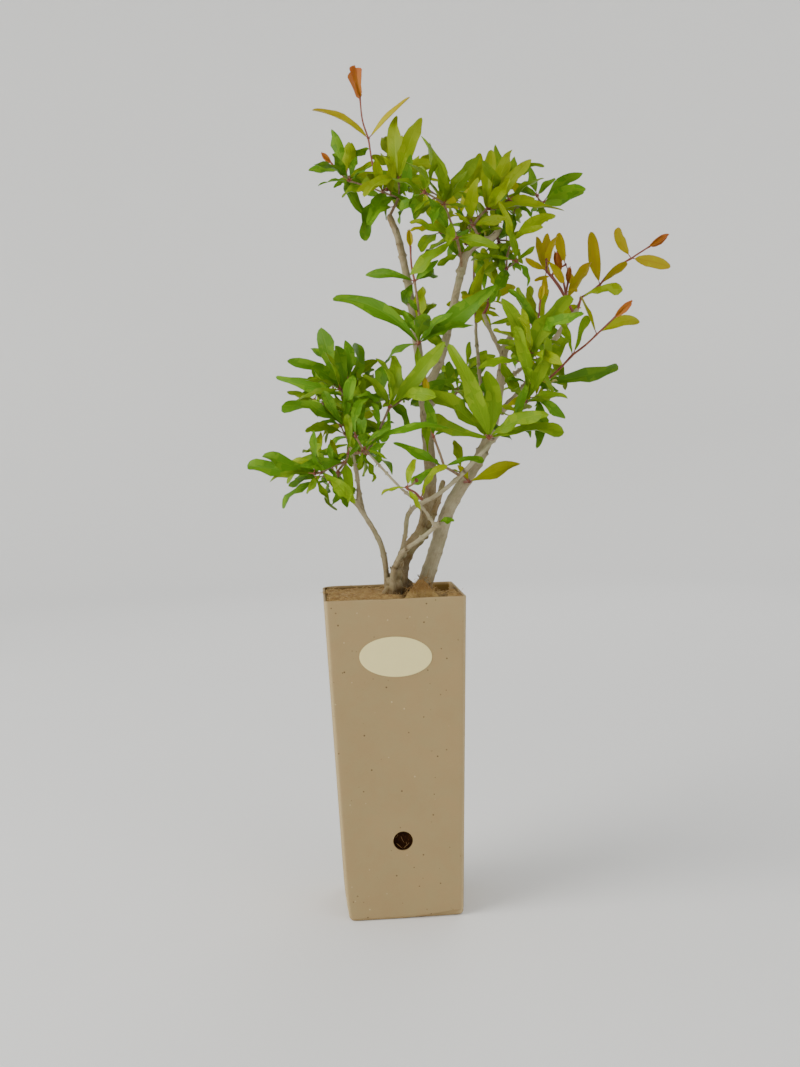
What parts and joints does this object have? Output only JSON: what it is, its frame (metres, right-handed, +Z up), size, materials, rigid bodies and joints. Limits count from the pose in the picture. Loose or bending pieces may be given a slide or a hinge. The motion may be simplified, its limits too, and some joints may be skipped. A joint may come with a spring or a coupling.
{
  "type": "potted pomegranate tree",
  "caption": "Young pomegranate tree with slender leaning stems and open sprays of narrow leaves, in a tall tapering square cardboard pot with a bare oval label.",
  "frame": {"origin": "centre of the pot's flat underside", "axes": "+Z up along the pot's axis, -Y towards the front of the pot, where its label and drainage hole are, +X to the right as seen from the front, which is the way the right-hand shoots reach"},
  "size_m": [0.3305, 0.1776, 0.6172],
  "materials": {
    "cardboard": "matte",
    "label": "matte",
    "soil": "matte",
    "coir": "matte",
    "bark": "matte",
    "leaf": "satin",
    "young_leaf": "satin"
  },
  "bodies": {
    "root": {"pot": "cardboard", "root_ball": "soil", "label": "label", "coir_mat": "coir", "coir_roll": "coir", "coir_flap": "coir", "stem_middle": "bark", "stem_right": "bark", "stem_front": "bark", "stem_left": "bark", "stem_slender": "bark", "stub_dark": "bark", "bough_left_inner": "bark", "bough_left_outer": "bark", "bough_left_back": "bark", "bough_middle_left": "bark", "bough_middle_right": "bark", "bough_middle_back": "bark", "bough_top_cut": "bark", "bough_right_long": "bark", "bough_right_inner": "bark", "bough_right_short": "bark", "bough_right_back": "bark", "bough_centre": "bark", "bough_front": "bark", "leaves_top_left": "leaf", "leaves_top_middle": "leaf", "leaves_top_right": "leaf", "leaves_upper_right": "leaf", "leaves_red": "young_leaf", "leaves_shoot_upper": "young_leaf", "leaves_right": "leaf", "leaves_shoot_lower": "leaf", "leaves_centre_right": "leaf", "leaves_centre_left": "leaf", "leaves_centre_low": "leaf", "leaves_right_low": "leaf", "leaves_front_low": "leaf", "leaves_left_inner": "leaf", "leaves_left_upper": "leaf", "leaves_left_middle": "leaf", "leaves_left_lower": "leaf", "leaves_back_left": "leaf", "leaves_back_centre": "leaf", "leaves_back_right": "leaf", "leaves_back_top": "leaf"}
  },
  "joints": []
}
